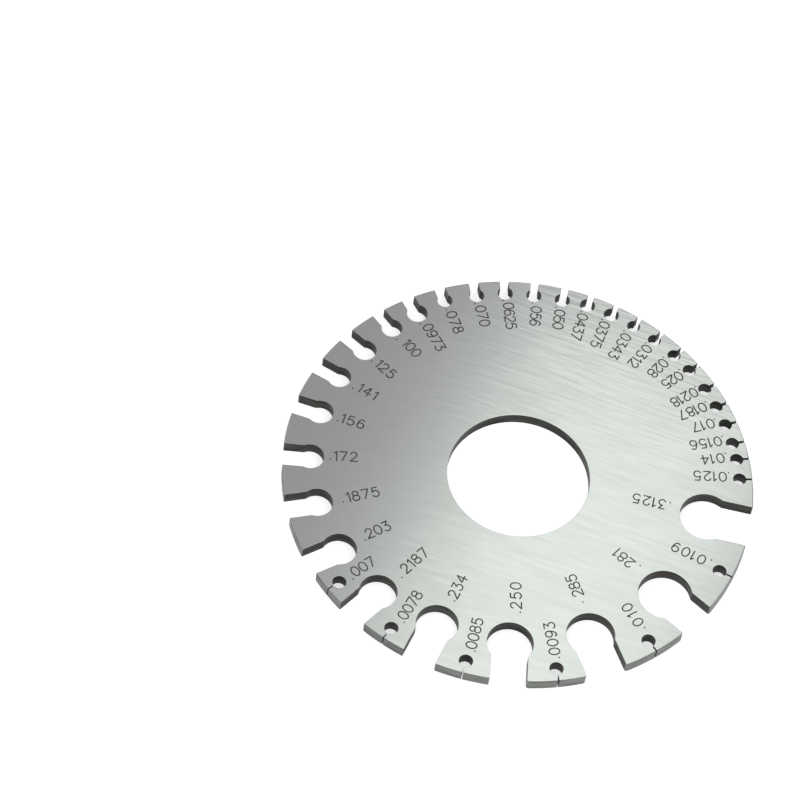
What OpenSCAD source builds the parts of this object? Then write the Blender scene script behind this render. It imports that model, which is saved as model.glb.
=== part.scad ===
// Wire gauge: one round plate with a keyhole slot in its rim for each wire size.
// Origin at the centre of the middle hole, on the face that the plate lies on.

/* [Plate] */
// Outside diameter of the plate
disc_d = 82.55; // [78:0.05:100]
// Thickness of the plate
plate_t = 2.38; // [1.2:0.01:4]
// Diameter of the hole in the middle
bore_d = 25; // [10:0.5:36]
// Broken edge on both faces of the rim and of the middle hole
edge_break = 0.2; // [0.05:0.01:0.3]

/* [Slots] */
// Angle of the widest slot, from +X
first_angle = -4.7; // [-20:0.1:20]
// Round where a slot opens into its relief hole, as a share of the hole's radius
neck_share = 0.14; // [0.05:0.01:0.25]
// Relief hole at the end of each fine slit
fine_relief_d = 2.4; // [1.5:0.1:3]
// Distance from the rim to the centre of a fine slit's relief hole
fine_relief_in = 2.4; // [2:0.1:4]

/* [Hidden] */
$fn = 96;
inch = 25.4;
disc_r = disc_d / 2;
bore_r = bore_d / 2;
// How far a cut runs past the plate
over = 1;

// Slots of gauges 0 to 30, clockwise from the widest. Each row holds the slot's width in inches,
// the angle to the next slot, the diameter of the relief hole, the distance from the rim to
// that hole's centre, and the round on the two corners of the land after the slot
SLOTS = [
    [0.3125, 30.8, 9.2, 7.9, 0.2],
    [0.281, 26.8, 9.4, 7.4, 0.4],
    [0.285, 23.9, 8.4, 7.6, 0.45],
    [0.250, 21.8, 8, 7.4, 0.15],
    [0.234, 19.4, 7.3, 7.4, 0.1],
    [0.2187, 17.3, 6.6, 6.4, 0.1],
    [0.203, 16.2, 6.1, 5.9, 0.1],
    [0.1875, 15, 5.5, 5.4, 0.1],
    [0.172, 14.9, 4.9, 4.8, 0.1],
    [0.156, 12.9, 4.7, 4.7, 0.1],
    [0.141, 11.7, 4.2, 4.6, 0.1],
    [0.125, 10.8, 4.2, 4.6, 0.1],
    [0.100, 8.7, 3.7, 4.1, 0.1],
    [0.0973, 8.7, 3.7, 3.6, 0.1],
    [0.078, 8.8, 2.7, 2.8, 0.1],
    [0.070, 7.8, 2.7, 2.9, 0.1],
    [0.0625, 7.7, 2.7, 2.7, 0.1],
    [0.056, 7.7, 2.7, 2.8, 0.1],
    [0.050, 6.8, 2.7, 2.7, 0.1],
    [0.0437, 6.8, 2.7, 2.3, 0.1],
    [0.0375, 6.7, 2.7, 2.3, 0.1],
    [0.0343, 6.8, 2.3, 2.3, 0.1],
    [0.0312, 6.8, 2.3, 2.4, 0.1],
    [0.028, 5.9, 2.3, 2.3, 0.1],
    [0.025, 6.9, 2.3, 2.3, 0.1],
    [0.0218, 6, 2.3, 2.3, 0.1],
    [0.0187, 5.9, 2.3, 2.3, 0.1],
    [0.017, 5.9, 2.3, 2.3, 0.1],
    [0.0156, 5, 2.3, 2.3, 0.1],
    [0.014, 6, 2.3, 2.3, 0.1],
    [0.0125, 13.6, 2.3, 2.3, 0.1],
];
// Slits of gauges 31 to 36, in inches, each in the middle of the land after a slot
FINE = [0.0109, 0.010, 0.0093, 0.0085, 0.0078, 0.007];

// Angle of slot i: the pitches before it, added up clockwise from the first
function turned(i) = i == 0 ? 0 : turned(i - 1) + SLOTS[i - 1][1];
function slot_angle(i) = first_angle - turned(i);
function mouth_round(i) = SLOTS[(i + len(SLOTS)) % len(SLOTS)][4];

// How deep a round reaches into the walls that it joins, so that it crosses them and doesn't only
// touch them: its centre lies this share of its radius from each
bite = 0.97;
// How far along +X a point lies that is reach from the centre and side from the axis
function along(reach, side) = sqrt(reach * reach - side * side);

// What rounding both sides of a slot's neck opens, with the relief hole's centre at the origin:
// the wedge from there to the rounds' centres, less the rounds
module neck(half_w, hole_r) {
    round_r = neck_share * hole_r;
    y = half_w + bite * round_r;
    x = along(hole_r + bite * round_r, y);
    difference() {
        polygon([[0, 0], [x, -y], [x, y]]);
        for (side = [-1, 1]) translate([x, side * y]) circle(r = round_r);
    }
}

// What rounding the corner at the rim opens, on the +Y side of a slot along +X
module mouth(half_w, round_r) {
    y = half_w + bite * round_r;
    x = along(disc_r - bite * round_r, y);
    far = disc_r + over;
    difference() {
        polygon([[x, 0], [far, 0], [far, y * far / x], [x, y]]);
        translate([x, y]) circle(r = round_r);
    }
}

// A slot along +X with its relief hole; left_r and right_r round its corners at the rim
module keyhole(width, relief_d, relief_in, left_r, right_r) {
    centre = disc_r - relief_in;
    hole_r = relief_d / 2;
    translate([centre, 0]) {
        circle(r = hole_r);
        neck(width / 2, hole_r);
    }
    translate([centre, -width / 2]) square([relief_in + over, width]);
    mouth(width / 2, left_r);
    mirror([0, 1]) mouth(width / 2, right_r);
}

// A fine slit along +X with its relief hole
module slit(width) {
    centre = disc_r - fine_relief_in;
    translate([centre, 0]) circle(d = fine_relief_d);
    translate([centre, -width / 2]) square([fine_relief_in + over, width]);
}

// The plate before its slots: a turned disc with its edges broken
module blank() {
    c = edge_break;
    rotate_extrude()
        polygon([[bore_r + c, 0], [disc_r - c, 0], [disc_r, c], [disc_r, plate_t - c],
            [disc_r - c, plate_t], [bore_r + c, plate_t], [bore_r, plate_t - c], [bore_r, c]]);
}

module gauge_plate() {
    color("silver")
        difference() {
            blank();
            translate([0, 0, -over]) linear_extrude(plate_t + 2 * over) {
                for (i = [0 : len(SLOTS) - 1])
                    rotate(slot_angle(i))
                        keyhole(SLOTS[i][0] * inch, SLOTS[i][2], SLOTS[i][3], mouth_round(i - 1), mouth_round(i));
                for (i = [0 : len(FINE) - 1])
                    rotate(slot_angle(i) - SLOTS[i][1] / 2) slit(FINE[i] * inch);
            }
        }
}

gauge_plate();
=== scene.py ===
import bpy
import numpy as np
from mathutils import Matrix
from mathutils.geometry import delaunay_2d_cdt


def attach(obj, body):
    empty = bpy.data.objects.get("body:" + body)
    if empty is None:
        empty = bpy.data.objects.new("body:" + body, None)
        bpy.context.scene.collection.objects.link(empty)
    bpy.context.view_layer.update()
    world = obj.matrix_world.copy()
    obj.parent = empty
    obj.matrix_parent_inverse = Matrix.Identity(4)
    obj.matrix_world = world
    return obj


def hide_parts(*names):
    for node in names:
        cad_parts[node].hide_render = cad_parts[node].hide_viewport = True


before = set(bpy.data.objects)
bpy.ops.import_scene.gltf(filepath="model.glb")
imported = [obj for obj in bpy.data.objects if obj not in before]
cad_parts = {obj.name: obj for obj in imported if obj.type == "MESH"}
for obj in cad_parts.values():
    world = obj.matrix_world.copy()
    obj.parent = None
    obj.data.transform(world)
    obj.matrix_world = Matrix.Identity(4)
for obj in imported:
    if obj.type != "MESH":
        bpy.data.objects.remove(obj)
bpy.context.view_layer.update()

# The plate: a disc of stainless sheet, 3 1/4 in across and 3/32 in thick, with a hole in the middle
# and a keyhole slot in its rim for each wire size. It is blanked and slotted, ground flat on both
# faces, and its edges are lightly broken. All sizes are in millimetres until the mesh is made.
MILLIMETRE = 0.001
INCH = 25.4
disc_radius = 82.55 / 2
bore_radius = 12.5
thickness = 2.38
# Round of the edges at the rim, and the shares of it that the middle hole's and the slots' edges
# have: the slots were cut last, so theirs are nearly sharp
edge_break = 0.22
bore_edge = 0.4
slot_edge = 0.2
# Angle of the widest slot from +X, and the round where a slot opens into its relief hole, as a
# share of the hole's radius
first_angle = -4.7
neck_share = 0.14
# Gauges 0 to 30, clockwise. Width in inches, angle to the next slot, diameter of the relief hole,
# how far its centre lies in from the rim, and the round on the corners of the land after the slot
slots = np.array([
    [0.3125, 30.8, 9.2, 7.9, 0.2], [0.281, 26.8, 9.4, 7.4, 0.4], [0.285, 23.9, 8.4, 7.6, 0.45],
    [0.250, 21.8, 8, 7.4, 0.15], [0.234, 19.4, 7.3, 7.4, 0.1], [0.2187, 17.3, 6.6, 6.4, 0.1],
    [0.203, 16.2, 6.1, 5.9, 0.1], [0.1875, 15, 5.5, 5.4, 0.1], [0.172, 14.9, 4.9, 4.8, 0.1],
    [0.156, 12.9, 4.7, 4.7, 0.1], [0.141, 11.7, 4.2, 4.6, 0.1], [0.125, 10.8, 4.2, 4.6, 0.1],
    [0.100, 8.7, 3.7, 4.1, 0.1], [0.0973, 8.7, 3.7, 3.6, 0.1], [0.078, 8.8, 2.7, 2.8, 0.1],
    [0.070, 7.8, 2.7, 2.9, 0.1], [0.0625, 7.7, 2.7, 2.7, 0.1], [0.056, 7.7, 2.7, 2.8, 0.1],
    [0.050, 6.8, 2.7, 2.7, 0.1], [0.0437, 6.8, 2.7, 2.3, 0.1], [0.0375, 6.7, 2.7, 2.3, 0.1],
    [0.0343, 6.8, 2.3, 2.3, 0.1], [0.0312, 6.8, 2.3, 2.4, 0.1], [0.028, 5.9, 2.3, 2.3, 0.1],
    [0.025, 6.9, 2.3, 2.3, 0.1], [0.0218, 6, 2.3, 2.3, 0.1], [0.0187, 5.9, 2.3, 2.3, 0.1],
    [0.017, 5.9, 2.3, 2.3, 0.1], [0.0156, 5, 2.3, 2.3, 0.1], [0.014, 6, 2.3, 2.3, 0.1],
    [0.0125, 13.6, 2.3, 2.3, 0.1]])
slot_width, slot_pitch, relief_width, relief_depth, land_corner = slots.T
slot_angle = first_angle - np.concatenate([[0], np.cumsum(slot_pitch)[:-1]])
# Gauges 31 to 36 are fine slits, each in the middle of the land after one of the first slots
slit_width = np.array([0.0109, 0.010, 0.0093, 0.0085, 0.0078, 0.007])
slit_angle = (slot_angle - slot_pitch / 2)[:len(slit_width)]
slit_relief = 2.4
slit_corner = 0.05
# The share of the edge break on a slit's walls, because a full one would swallow the slit
slit_edge = 0.12
# Points on a small round, on a relief hole (with more for each millimetre of its radius) and on
# the middle hole, and the least radius of the inner line of a corner's edge
round_points = 5
hole_base_points, hole_radius_points = 30, 7
bore_points = 180
least_inner = 0.02


def arc(centre, radius, start, stop, steps, into, edge=1.0):
    """Points on an arc: the centre plus the radius times the unit vector at an angle that runs
    evenly from start to stop, in degrees. Each row is x, y, the unit vector into the metal, which
    is that same vector times into (+1 round a hole, -1 on a corner), the way to the inner line of
    the edge in edge breaks, and the edge's share of the break."""
    angle = np.radians(np.linspace(start, stop, steps))
    way = np.column_stack([np.cos(angle), np.sin(angle)])
    return np.column_stack([
        np.add(centre, radius * way), into * way, edge * into * way, np.full(steps, edge)])


def corner(centre, radius, start, stop, start_edge, stop_edge):
    """A slot's corner at the rim: an arc whose edge grows from the wall's share to the rim's. The
    inner line of the edge is an arc too, of a radius that is smaller by the edge break, but never
    under a least one. Its centre lies, along the way to either end, the radius less the edge there
    less the inner radius from the corner's centre."""
    rounded = arc(centre, radius, start, stop, round_points, -1)
    inner = max(radius - edge_break, least_inner)
    shares = np.array([start_edge, stop_edge])
    inner_centre = np.linalg.solve(-rounded[[0, -1], 2:4], radius - edge_break * shares - inner)
    rounded[:, 4:6] = (inner_centre + (radius - inner) * rounded[:, 2:4]) / edge_break
    rounded[:, 6] = np.linspace(start_edge, stop_edge, round_points)
    return rounded


def turned(outline, angle):
    """An outline turned about the plate's centre: points and unit vectors times the rotation."""
    c, s = np.cos(np.radians(angle)), np.sin(np.radians(angle))
    turn = np.array([[c, s], [-s, c]])
    pairs = [outline[:, i:i + 2] @ turn for i in (0, 2, 4)]
    return np.column_stack(pairs + [outline[:, 6:]])


def keyhole(angle, width, relief_d, relief_in, left, right, neck, edge):
    """The outline of a slot, walked from its clockwise corner at the rim, round the relief hole,
    to its other corner. Every round is tangent to what it joins. Its centre lies its own radius
    beyond the slot's wall. From the plate's centre a corner's centre is one radius less than the
    rim, and from the hole's centre a neck's is one radius more than the hole. The hole is drilled,
    so its edge is the same in slots and slits. A last column is 1 where a wall of the slot starts,
    and 0 on its two corners, which belong to the rim."""
    half, hole = width / 2, relief_d / 2
    x_hole = disc_radius - relief_in
    x_neck = x_hole + np.sqrt((hole + neck) ** 2 - (half + neck) ** 2)
    mouth_x = [np.sqrt((disc_radius - r) ** 2 - (half + r) ** 2) for r in (right, left)]
    open_right = np.degrees(np.arctan2(-(half + right), mouth_x[0]))
    open_left = np.degrees(np.arctan2(half + left, mouth_x[1]))
    bend = np.degrees(np.arctan2(half + neck, x_hole - x_neck))
    hole_points = int(hole_base_points + hole_radius_points * hole)
    round_hole = arc((x_hole, 0), hole, bend - 180, -180 - bend, hole_points, 1, slot_edge)[1:-1]
    outline = np.vstack([
        corner((mouth_x[0], -half - right), right, open_right, 90, 1, edge),
        arc((x_neck, -half - neck), neck, 90, bend, round_points, -1, edge),
        round_hole,
        arc((x_neck, half + neck), neck, -bend, -90, round_points, -1, edge),
        corner((mouth_x[1], half + left), left, -90, open_left, edge, 1)])
    painted_shade_wall = np.ones(len(outline))
    painted_shade_wall[:round_points - 1] = painted_shade_wall[-round_points:] = 0
    return turned(np.column_stack([outline, painted_shade_wall]), angle)


cuts = [
    keyhole(slot_angle[i], slot_width[i] * INCH, relief_width[i], relief_depth[i],
            land_corner[i - 1], land_corner[i], neck_share * relief_width[i] / 2, slot_edge)
    for i in range(len(slots))]
cuts += [
    keyhole(angle, width * INCH, slit_relief, slit_relief, slit_corner, slit_corner,
            slit_corner, slit_edge)
    for angle, width in zip(slit_angle, slit_width)]
# Walked counter-clockwise, so that the metal is always on the left
cuts.sort(key=lambda cut: np.arctan2(cut[0, 1], cut[0, 0]))


def rim_between(cut, following):
    """The rim from the end of one slot to the start of the next, with a point for about every
    degree. The ends belong to the slots' corners, so only the points between them are kept."""
    start, stop = (np.degrees(np.arctan2(p[1], p[0])) for p in (cut[-1], following[0]))
    stop += 360 * (stop < start)
    rim = arc((0, 0), disc_radius, start, stop, int(stop - start) + 4, -1)[1:-1]
    return np.column_stack([rim, np.zeros(len(rim))])


plate_outline = np.vstack([
    part for cut, following in zip(cuts, cuts[1:] + cuts[:1])
    for part in (cut, rim_between(cut, following))])
bore_round = arc((0, 0), bore_radius, 360, 0, bore_points + 1, 1, bore_edge)[:-1]
bore_outline = np.column_stack([bore_round, np.ones(len(bore_round))])

# The size marks: each slot's width in inches, read from the rim inwards. They are etched in single
# strokes of one width, a few hundredths deep, and look dark grey. The digits have a flat-topped
# three, a one without a foot, and round sixes and nines.
digit_height = 1.86
stroke = 0.24
mark_depth = 0.03
dot_radius = 0.15
# A bowed stroke has a point for every so many degrees, and a few more
bow_step, bow_extra = 20, 5


def bow(x, y, across, up, start, stop):
    """A stroke along part of an oval: its centre plus its two half sizes times the cosine and sine
    of an angle that runs evenly from start to stop, in degrees."""
    steps = bow_extra + int(abs(stop - start) / bow_step)
    angle = np.radians(np.linspace(start, stop, steps))
    return np.column_stack([x + across * np.cos(angle), y + up * np.sin(angle)])


def straight(*points):
    """A straight stroke between two points."""
    return np.array(points, float)


# Strokes of each digit in a field one unit high, and the width of the digit in that field
six = [bow(0.335, 0.31, 0.31, 0.31, 0, 180), bow(0.335, 0.31, 0.31, 0.31, 180, 360),
       bow(0.385, 0.31, 0.36, 0.69, 180, 58)]
digits = {
    "0": (0.68, [bow(0.34, 0.5, 0.34, 0.5, 90, 270), bow(0.34, 0.5, 0.34, 0.5, -90, 90)]),
    "1": (0.22, [straight((0, 0.8), (0.22, 1)), straight((0.22, 1), (0.22, 0))]),
    "2": (0.66, [bow(0.33, 0.71, 0.29, 0.29, 168, -37), straight((0.562, 0.535), (0, 0)),
                 straight((0, 0), (0.66, 0))]),
    "3": (0.62, [straight((0.04, 1), (0.56, 1)), straight((0.56, 1), (0.28, 0.61)),
                 bow(0.3, 0.31, 0.32, 0.31, 100, -150)]),
    "4": (0.7, [straight((0.48, 1), (0, 0.33)), straight((0, 0.33), (0.7, 0.33)),
                straight((0.48, 1), (0.48, 0))]),
    "5": (0.66, [straight((0.57, 1), (0.13, 1)), straight((0.13, 1), (0.07, 0.54)),
                 bow(0.33, 0.33, 0.33, 0.33, 140, -148)]),
    "6": (0.66, six),
    "7": (0.66, [straight((0, 1), (0.66, 1)), straight((0.66, 1), (0.2, 0))]),
    "8": (0.66, [bow(0.33, 0.765, 0.27, 0.235, 90, 270), bow(0.33, 0.765, 0.27, 0.235, -90, 90),
                 bow(0.33, 0.275, 0.33, 0.275, 90, 270), bow(0.33, 0.275, 0.33, 0.275, -90, 90)]),
    "9": (0.66, [(0.66, 1) - curve for curve in six]),
}

# Each mark: its text after the point, the radii at which the point, the first digit and the end of
# the last digit lie, how far the point and the baseline lie clockwise of the slot's middle line,
# and the slant of the baseline in degrees. They were struck by eye, so no two sit quite alike
slot_marks = [
    ("3125", 26.8, 26.15, 20.2, -1.2, -1.6, 0), ("281", 27.05, 26.15, 22.2, -1.3, -1.4, -0.5),
    ("285", 27.3, 26.1, 21.6, -1.15, -1.95, -1), ("250", 27.7, 27.1, 21.75, -1.45, -1.75, 3),
    ("234", 28.45, 28, 23.05, -0.75, -1.1, 1), ("2187", 29.85, 28.85, 22.9, -0.8, -0.95, 1),
    ("203", 30.45, 29.95, 25.2, -0.35, -0.45, 0), ("1875", 31.4, 30.6, 24.7, -0.65, -0.95, 4),
    ("172", 32.95, 32.35, 28.1, -0.2, -0.55, 3), ("156", 33.15, 32.7, 28.35, -0.7, -0.9, 0),
    ("141", 33.45, 32.7, 29.05, -0.75, -0.9, 0), ("125", 34.2, 33.35, 29.25, -0.9, -1.3, -2),
    ("100", 34.7, 33.55, 29.7, -0.8, -0.75, 2.5), ("0973", 35.4, 34.9, 28.8, -0.55, -0.7, -1),
    ("078", 36.5, 36, 31.1, -0.45, -0.9, 0), ("070", 36.7, 36.15, 31.55, -0.65, -0.9, 2),
    ("0625", 37, 36.55, 30.75, -0.5, -0.65, 2.5), ("056", 36.85, 36.25, 31.9, -0.15, -0.4, -0.5),
    ("050", 36.75, 36.35, 32, -0.8, -1, 5), ("0437", 37.3, 36.95, 30.95, -0.65, -1.15, 3.5),
    ("0375", 37.25, 37, 30.95, -1.1, -1.3, 5.5), ("0343", 37.15, 36.8, 30.65, -0.9, -1.05, 4),
    ("0312", 37.4, 37.15, 31.5, -0.8, -1, 3.5), ("028", 37.25, 36.95, 32.45, -0.95, -1.2, 5.5),
    ("025", 37.55, 37.35, 33, -1.15, -1.2, 0.5), ("0218", 37.7, 37.5, 32, -1.2, -1.4, 2.5),
    ("0187", 37.65, 37.35, 31.85, -1.65, -1.85, 1.5), ("017", 37.55, 37.25, 33.05, -1.65, -1.95, -1),
    ("0156", 37.55, 37.25, 31.35, -1.75, -1.9, 0), ("014", 37.2, 36.85, 32.55, -1.45, -1.6, 2),
    ("0125", 37.1, 36.8, 30.85, -1.25, -1.45, -2)]
slit_marks = [
    ("0109", 36.7, 35.9, 29.5, -1.3, -1.6, 0), ("010", 36.45, 35.75, 30.95, -0.95, -1.6, -2),
    ("0093", 36.8, 36.3, 29.8, -0.8, -1.25, 0), ("0085", 36.6, 36.35, 30.1, -1, -1.25, 1.5),
    ("0078", 36.62, 36.22, 30.02, -1.1, -1.3, 5.5), ("007", 36.55, 36.05, 31.3, -0.85, -0.85, 0.5)]


def band(path):
    """A stroke as a closed band round its path: half the stroke's width to the left going out, to
    the right coming back, and a half circle round either end."""
    way = np.gradient(path, axis=0)
    way /= np.linalg.norm(way, axis=1)[:, None]
    left = np.column_stack([-way[:, 1], way[:, 0]])
    turn = np.radians([-60, -30, 0, 30, 60])[:, None]
    cap_end = path[-1] + stroke / 2 * (np.cos(turn) * way[-1] + np.sin(turn) * left[-1])
    cap_start = path[0] - stroke / 2 * (np.cos(turn) * way[0] + np.sin(turn) * left[0])
    return np.vstack([path - stroke / 2 * left, cap_end, (path + stroke / 2 * left)[::-1], cap_start])


def struck(mark, angle):
    """The bands of one mark on the plate. Digits are spread evenly from the first radius to the
    last. A point x along and y above the baseline lies at the radius less x, and y clockwise of
    the slot's middle line, after the slant has turned it."""
    text, dot_at, first, last, dot_side, base_side, slant = mark
    widths = np.array([digits[d][0] for d in text]) * digit_height + stroke
    gap = (first - last - widths.sum()) / (len(text) - 1)
    starts = np.concatenate([[0], np.cumsum(widths + gap)[:-1]]) + stroke / 2
    shapes = [
        band(curve * digit_height + (start, stroke / 2))
        for d, start in zip(text, starts) for curve in digits[d][1]]
    slope = np.radians(slant)
    tilt = np.array([[np.cos(slope), np.sin(slope)], [-np.sin(slope), np.cos(slope)]])
    placed = [np.array([first, base_side]) + (shape @ tilt) * (-1, 1) for shape in shapes]
    dot = arc((dot_at, dot_side), dot_radius, 0, 360, 13, 1)[:-1, :2]
    c, s = np.cos(np.radians(angle)), np.sin(np.radians(angle))
    onto_plate = np.array([[c, s], [s, -c]])
    return [shape @ onto_plate for shape in placed + [dot[::-1]]]


mark_shapes = [
    shape
    for marks, angles in ((slot_marks, slot_angle), (slit_marks, slit_angle))
    for mark, angle in zip(marks, angles)
    for shape in struck(mark, angle)]


# The finished plate is one closed skin: two flat faces, the walls of the rim, hole and slots with
# their rounded edges, and the marks sunk into the upper face.
# Points nearer to each other than this, in millimetres, are one
same_point = 1e-6


def edged_wall(outline):
    """The wall along an outline, as rings of points and of unit normals from the upper face down.
    Over a quarter circle the edge lies away from the wall, along the way to its inner line, by one
    less the sine of the turn, and down from the face by one less its cosine, times its share, both
    times the edge break. The lower edge mirrors it."""
    turn = np.radians([0, 30, 60, 90])
    inset = edge_break * np.concatenate([1 - np.sin(turn), (1 - np.sin(turn))[::-1]])
    drop = edge_break * (1 - np.cos(turn))
    point, into, inwards, edge = outline[:, :2], outline[:, 2:4], outline[:, 4:6], outline[:, 6]
    xy = point + inset[:, None, None] * inwards
    z = np.vstack([thickness - drop[:, None] * edge, (drop[:, None] * edge)[::-1]])
    lean = np.concatenate([np.sin(turn), np.sin(turn)[::-1]])
    rise = np.concatenate([np.cos(turn), -np.cos(turn)[::-1]])
    normal = np.concatenate([
        -lean[:, None, None] * into,
        np.broadcast_to(rise[:, None, None], (len(rise), len(into), 1))], axis=2)
    return np.concatenate([xy, z[..., None]], axis=2), normal


def face_triangles(rings, shapes):
    """A flat face as triangles between its outline, its hole and the shapes on it. The metal is
    what lies to the left of both rings. Gives the points, where each ring's points went among
    them, the triangles, and which of them lie in a shape."""
    loops = list(rings) + list(shapes)
    sizes = [len(loop) for loop in loops]
    starts = np.concatenate([[0], np.cumsum(sizes)[:-1]])
    loop_faces = [list(range(a, a + n)) for a, n in zip(starts, sizes)]
    points, _, triangles, kept, _, within = delaunay_2d_cdt(
        np.vstack(loops).tolist(), [], loop_faces, 1, same_point)
    counts = [len(ids) for ids in kept]
    went = np.full(sum(sizes), -1)
    went[[i for ids in kept for i in ids]] = np.repeat(np.arange(len(points)), counts)
    triangles = np.array(triangles)
    metal = np.array([0 in ids and 1 in ids for ids in within])
    marked = np.array([max(ids, default=0) > 1 for ids in within])
    ring_ids = [went[a:a + n] for a, n in zip(starts[:2], sizes[:2])]
    return np.array([tuple(p) for p in points]), ring_ids, triangles[metal], marked[metal]


def wall_quads(top, bottom):
    """Four-sided faces between two rings of point numbers, seen from outside the metal."""
    return np.column_stack([top, bottom, np.roll(bottom, -1), np.roll(top, -1)])


walls = [edged_wall(outline) for outline in (plate_outline, bore_outline)]
upper_xy, upper_rings, upper_faces, marked = face_triangles(
    [rings[0, :, :2] for rings, _ in walls], mark_shapes)
lower_xy, lower_rings, lower_faces, _ = face_triangles([rings[-1, :, :2] for rings, _ in walls], [])


def raised(xy, height):
    """Flat points at one height above the face that the plate lies on."""
    return np.column_stack([xy, np.full(len(xy), height)])


points = [raised(upper_xy, thickness), raised(lower_xy, 0.0),
          raised(upper_xy, thickness - mark_depth)]
lower_start = len(upper_xy)
sunk_start = lower_start + len(lower_xy)
filled = sunk_start + len(upper_xy)
# Finishes by material slot; the slots' walls get a far darker copy of the rim's, which is painted
# shade
FACE, RIM, SLOT_SHADE_PAINTED, MARK = 0, 1, 2, 3

# A sunk mark's side stands on each edge that only one of the marked triangles has
marked_faces = upper_faces[marked]
sides = np.vstack([marked_faces[:, [0, 1]], marked_faces[:, [1, 2]], marked_faces[:, [2, 0]]])
_, place, times = np.unique(np.sort(sides, axis=1), axis=0, return_index=True, return_counts=True)
mark_edges = sides[place[times == 1]]
faces = [
    upper_faces[~marked], lower_faces[:, ::-1] + lower_start, marked_faces + sunk_start,
    np.column_stack([mark_edges, mark_edges[:, ::-1] + sunk_start])]
finish = [np.full(len(f), kind) for f, kind in zip(faces, (FACE, FACE, MARK, MARK))]
corner_normals = [np.zeros((f.size, 3)) for f in faces]
smooth = [np.zeros(len(f), bool) for f in faces]
# Which wall points belong to the slots, whose walls get the painted shade
painted_shade_walls = [outline[:, 7] == 1 for outline in (plate_outline, bore_outline)]
# The edges are as bright as the face, for one step down at the rim and the slots, two at the hole
for (rings, normals), painted_shade_wall, top_ring, bottom_ring, bright in zip(
        walls, painted_shade_walls, upper_rings, lower_rings, (1, 2)):
    between = rings[1:-1]
    ids = np.vstack([
        top_ring, filled + np.arange(between[..., 0].size).reshape(between.shape[:2]),
        bottom_ring + lower_start])
    points.append(between.reshape(-1, 3))
    filled += between[..., 0].size
    for j in range(len(ids) - 1):
        faces.append(wall_quads(ids[j], ids[j + 1]))
        finish.append(np.full(ids.shape[1], FACE) if j < bright else np.where(painted_shade_wall, SLOT_SHADE_PAINTED, RIM))
        smooth.append(np.ones(ids.shape[1], bool))
        corner_normals.append(np.stack([
            normals[j], normals[j + 1], np.roll(normals[j + 1], -1, 0),
            np.roll(normals[j], -1, 0)], axis=1).reshape(-1, 3))
points = np.vstack(points)
used, compact = np.unique(np.concatenate([f.ravel() for f in faces]), return_inverse=True)
flat_faces = np.split(compact, np.cumsum([f.size for f in faces])[:-1])
faces = [ids.reshape(f.shape) for ids, f in zip(flat_faces, faces)]
plate_mesh = bpy.data.meshes.new("gauge_body")
plate_mesh.from_pydata(
    (points[used] * MILLIMETRE).tolist(), [], [row for f in faces for row in f.tolist()])
plate_mesh.polygons.foreach_set("material_index", np.concatenate(finish))
plate_mesh.polygons.foreach_set("use_smooth", np.concatenate(smooth))
plate_mesh.normals_split_custom_set(np.vstack(corner_normals).tolist())
plate_mesh.update()
gauge = bpy.data.objects.new("gauge_body", plate_mesh)
bpy.context.scene.collection.objects.link(gauge)
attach(gauge, "root")
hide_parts("gauge_plate")


# The finishes: faces brushed one way in long fine lines, walls with a coarser grain along the sheet,
# as the cutting tool left it, and darker than the face, the slots' walls darker still as painted
# shade, and marks burnt dark grey.
def add_node(tree, kind, inputs=None, **settings):
    """One node of a material, with its settings and the plain values of its sockets."""
    node = tree.nodes.new(kind)
    for name, value in settings.items():
        setattr(node, name, value)
    for name, value in (inputs or {}).items():
        node.inputs[name].default_value = value
    return node


# The share of streaks in the grain, the rest being fine lines, the size of the patches in which it
# comes and goes, along, across and upright, and how a patch's noise sets the grain's strength there
streak_share = 0.65
patch_size = (0.016, 0.005, 0.005)
patch_levels = {"From Min": 0.4, "From Max": 0.6, "To Min": 0.45, "To Max": 0.85}
# The levels of the grain between which a metal goes from its dark to its light tone
tone_levels = {"From Min": 0.38, "From Max": 0.62}
grain = bpy.data.node_groups.new("grain_lines", "ShaderNodeTree")
grain.interface.new_socket("Vector", in_out="INPUT", socket_type="NodeSocketVector")
grain.interface.new_socket("Lines", in_out="OUTPUT", socket_type="NodeSocketFloat")
grain_in = grain.nodes.new("NodeGroupInput")
grain_out = grain.nodes.new("NodeGroupOutput")
fine = add_node(grain, "ShaderNodeTexNoise", {"Scale": 1.0, "Detail": 2.0, "Roughness": 0.6})
grain.links.new(grain_in.outputs["Vector"], fine.inputs["Vector"])
grain.links.new(fine.outputs["Fac"], grain_out.inputs["Lines"])


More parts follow.
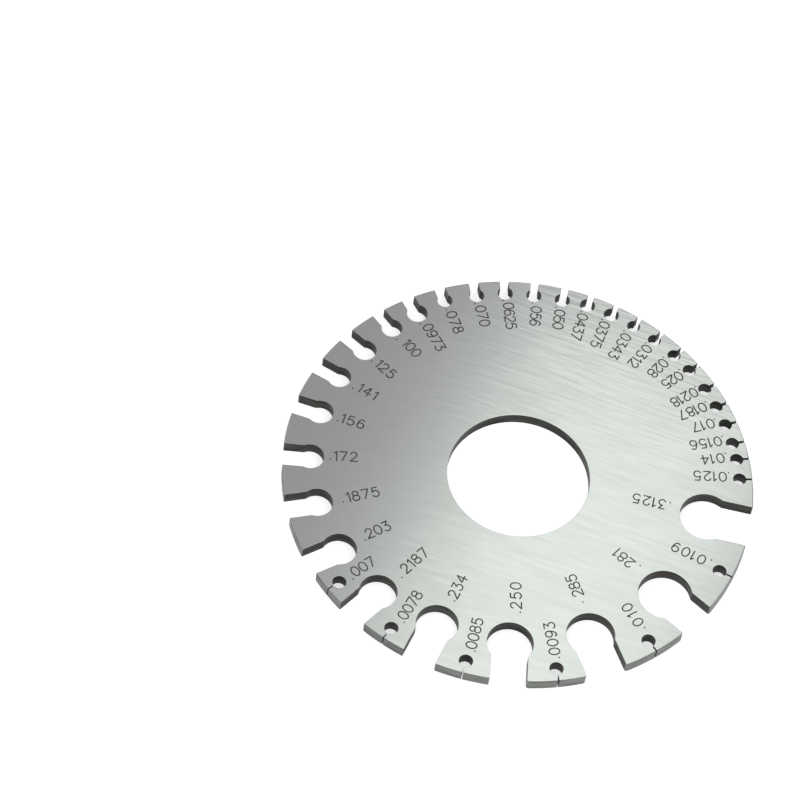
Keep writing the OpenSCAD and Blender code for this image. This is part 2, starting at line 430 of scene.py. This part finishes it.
def grained_metal(name, dark, light, gloss, lay, streak_lay, bump, metallic=1.0):
    """A metal whose colour runs from dark to light, and its roughness over gloss, with fine lines
    and broader streaks that come and go in patches. Each lay is the direction of the grain in
    degrees and its size along, across and upright."""
    material = bpy.data.materials.new(name)
    material.use_nodes = True
    tree = material.node_tree
    tree.nodes.clear()
    where = add_node(tree, "ShaderNodeTexCoord")
    grains = []
    for angle, *size in (lay, streak_lay, (streak_lay[0], *patch_size)):
        laid = add_node(tree, "ShaderNodeMapping",
                        {"Rotation": (0, 0, np.radians(angle)), "Scale": size}, vector_type="TEXTURE")
        grains.append(add_node(tree, "ShaderNodeGroup", node_tree=grain))
        tree.links.new(where.outputs["Object"], laid.inputs["Vector"])
        tree.links.new(laid.outputs["Vector"], grains[-1].inputs["Vector"])
    both = add_node(tree, "ShaderNodeMix", {"Factor": streak_share})
    strength = add_node(tree, "ShaderNodeMapRange", patch_levels)
    patched = add_node(tree, "ShaderNodeMix")
    spread = add_node(tree, "ShaderNodeMapRange", tone_levels)
    tone = add_node(tree, "ShaderNodeMix", {6: (*dark, 1), 7: (*light, 1)}, data_type="RGBA")
    shine = add_node(
        tree, "ShaderNodeMapRange", tone_levels | {"To Min": gloss[1], "To Max": gloss[0]})
    ridges = add_node(tree, "ShaderNodeBump", {"Strength": 1.0, "Distance": bump})
    shader = add_node(tree, "ShaderNodeBsdfPrincipled", {"Metallic": metallic})
    output = add_node(tree, "ShaderNodeOutputMaterial")
    for a, b in (
            (grains[0].outputs["Lines"], both.inputs["A"]),
            (grains[1].outputs["Lines"], both.inputs["B"]),
            (grains[2].outputs["Lines"], strength.inputs["Value"]),
            (strength.outputs["Result"], patched.inputs["Factor"]),
            (grains[2].outputs["Lines"], patched.inputs["A"]),
            (both.outputs["Result"], patched.inputs["B"]),
            (patched.outputs["Result"], spread.inputs["Value"]),
            (spread.outputs["Result"], tone.inputs["Factor"]),
            (tone.outputs[2], shader.inputs["Base Color"]),
            (patched.outputs["Result"], shine.inputs["Value"]),
            (shine.outputs["Result"], shader.inputs["Roughness"]),
            (grains[1].outputs["Lines"], ridges.inputs["Height"]),
            (ridges.outputs["Normal"], shader.inputs["Normal"]),
            (shader.outputs["BSDF"], output.inputs["Surface"])):
        tree.links.new(a, b)
    return material


plate_mesh.materials.append(grained_metal(
    "brushed_steel_face", (0.665, 0.72, 0.667), (0.715, 0.775, 0.718), (0.275, 0.32),
    (-8, 0.012, 0.0005, 0.02), (-14, 0.01, 0.0009, 0.02), 0.00005))
plate_mesh.materials.append(grained_metal(
    "ground_rim", (0.115, 0.12, 0.115), (0.225, 0.23, 0.22), (0.4, 0.52),
    (0, 0.003, 0.003, 0.00012), (0, 0.006, 0.006, 0.0004), 0.000006))
# The slots' walls: the rim's grain made far darker, painted shade for the shade that falls inside the
# slots
plate_mesh.materials.append(grained_metal(
    "slot_wall_painted_shade", (0.021, 0.021, 0.019), (0.065, 0.065, 0.059), (0.45, 0.6),
    (0, 0.003, 0.003, 0.00012), (0, 0.006, 0.006, 0.0004), 0.000006))
plate_mesh.materials.append(grained_metal(
    "etched_mark", (0.05, 0.05, 0.045), (0.11, 0.11, 0.105), (0.5, 0.65),
    (-7.5, 0.001, 0.0002, 0.001), (-14, 0.003, 0.001, 0.001), 0.000006, 0.6))

# The floor: a plain white table. The camera and the metal see it lit a little from itself, so that
# it stays white and keeps the plate's shadow.
floor_size = 1.5
floor_gap = 0.00003
floor_white = (0.86, 0.86, 0.86, 1)
floor_glow = 0.58
floor_mesh = bpy.data.meshes.new("floor")
floor_corners = np.array([(-1, -1, 0), (1, -1, 0), (1, 1, 0), (-1, 1, 0)]) * floor_size
floor_mesh.from_pydata((floor_corners - (0, 0, floor_gap)).tolist(), [], [(0, 1, 2, 3)])
floor = bpy.data.objects.new("floor", floor_mesh)
bpy.context.scene.collection.objects.link(floor)
floor_paint = bpy.data.materials.new("floor_white")
floor_paint.use_nodes = True
tree = floor_paint.node_tree
tree.nodes.clear()
matt = add_node(tree, "ShaderNodeBsdfDiffuse", {"Color": floor_white})
ray = add_node(tree, "ShaderNodeLightPath")
seen = add_node(tree, "ShaderNodeMath", operation="MAXIMUM")
seen_too = add_node(tree, "ShaderNodeMath", operation="MAXIMUM")
level = add_node(tree, "ShaderNodeMath", {1: floor_glow}, operation="MULTIPLY")
glow = add_node(tree, "ShaderNodeEmission")
both_shaders = add_node(tree, "ShaderNodeAddShader")
floor_output = add_node(tree, "ShaderNodeOutputMaterial")
for a, b in (
        (ray.outputs["Is Camera Ray"], seen.inputs[0]),
        (ray.outputs["Is Glossy Ray"], seen.inputs[1]),
        (seen.outputs[0], seen_too.inputs[0]),
        (ray.outputs["Is Transmission Ray"], seen_too.inputs[1]),
        (seen_too.outputs[0], level.inputs[0]),
        (level.outputs[0], glow.inputs["Strength"]),
        (matt.outputs[0], both_shaders.inputs[0]),
        (glow.outputs[0], both_shaders.inputs[1]),
        (both_shaders.outputs[0], floor_output.inputs["Surface"])):
    tree.links.new(a, b)
floor_mesh.materials.append(floor_paint)

# The camera: a long lens from the near side, 56 degrees up and rolled a little, as the photograph
# was taken. Its place is given in disc radii from the middle of the upper face.
camera_data = bpy.data.cameras.new("camera")
camera = bpy.data.objects.new("camera", camera_data)
bpy.context.scene.collection.objects.link(camera)
bpy.context.scene.camera = camera
picture, sensor = 800, 36.0
focal, tilt, roll = 3959, np.radians(33.80), np.radians(8.60)
seen_x, seen_y, distance = 518.61, 474.94, 16.718
rolled = np.array([[np.cos(roll), -np.sin(roll), 0], [np.sin(roll), np.cos(roll), 0], [0, 0, 1]])
plate_x = rolled @ (1, 0, 0)
plate_y = rolled @ (0, -np.cos(tilt), np.sin(tilt))
plate_z = np.cross(plate_x, plate_y)
middle = np.array([(seen_x - picture / 2) / focal, (seen_y - picture / 2) / focal, 1]) * distance
to_plate = np.array([plate_x, plate_y, plate_z])
eye = -(to_plate @ middle) * disc_radius + (0, 0, thickness)
matrix = np.eye(4)
matrix[:3, 0], matrix[:3, 1], matrix[:3, 2] = to_plate[:, 0], -to_plate[:, 1], -to_plate[:, 2]
matrix[:3, 3] = eye * MILLIMETRE
camera.matrix_world = Matrix(matrix.tolist())
camera_data.sensor_width = sensor
camera_data.lens = focal * sensor / picture
camera_data.clip_start = 0.01
camera_data.clip_end = 20

# The light: a soft panel over the right side of what the face mirrors to the camera. Its left edge
# runs over the plate, from the dim left to the bright right. A white room stands all round, with a
# dim stretch behind the panel.
mirror_way = to_plate @ middle / distance * (1, 1, -1)
mirror_way /= np.linalg.norm(mirror_way)
panel_height = 0.10
mirror_foot = mirror_way[:2] / mirror_way[2] * panel_height
# The panel's left edge faces this way, and its edges lie this far from the mirrored middle: the
# right and left one that way, and the near and far one across it
left_way = np.radians(165)
right_edge, left_edge = -0.052, 0.0128
near_edge, far_edge = -0.11, 0.05
panel_radiance = 0.84
panel = bpy.data.lights.new("panel", "AREA")
panel.shape = "RECTANGLE"
panel.size, panel.size_y = far_edge - near_edge, left_edge - right_edge
panel.energy = panel_radiance * np.pi * panel.size * panel.size_y
panel_object = bpy.data.objects.new("panel", panel)
panel_object.matrix_world = (
    Matrix.Translation((*mirror_foot, panel_height))
    @ Matrix.Rotation(left_way - np.pi / 2, 4, "Z")
    @ Matrix.Translation(((near_edge + far_edge) / 2, (right_edge + left_edge) / 2, 0)))
bpy.context.scene.collection.objects.link(panel_object)

# The cosines to the mirrored way at which the dim stretch starts and is at its full
dim_start, dim_full = 0.62, 0.86
white_wall, dim_wall = (0.98, 0.98, 0.98, 1), (0.35, 0.326, 0.352, 1)
room = bpy.data.worlds.new("room")
bpy.context.scene.world = room
room.use_nodes = True
tree = room.node_tree
tree.nodes.clear()
direction = add_node(tree, "ShaderNodeTexCoord")
nearness = add_node(tree, "ShaderNodeVectorMath", {1: mirror_way}, operation="DOT_PRODUCT")
stretch = add_node(tree, "ShaderNodeMapRange", {"From Min": dim_start, "From Max": dim_full},
                   interpolation_type="SMOOTHSTEP")
wall_tone = add_node(tree, "ShaderNodeMix", {6: white_wall, 7: dim_wall}, data_type="RGBA")
sky = add_node(tree, "ShaderNodeBackground")
world_output = add_node(tree, "ShaderNodeOutputWorld")
for a, b in (
        (direction.outputs["Generated"], nearness.inputs[0]),
        (nearness.outputs["Value"], stretch.inputs["Value"]),
        (stretch.outputs["Result"], wall_tone.inputs["Factor"]),
        (wall_tone.outputs[2], sky.inputs["Color"]),
        (sky.outputs[0], world_output.inputs["Surface"])):
    tree.links.new(a, b)

bpy.context.scene.view_settings.view_transform = "Standard"
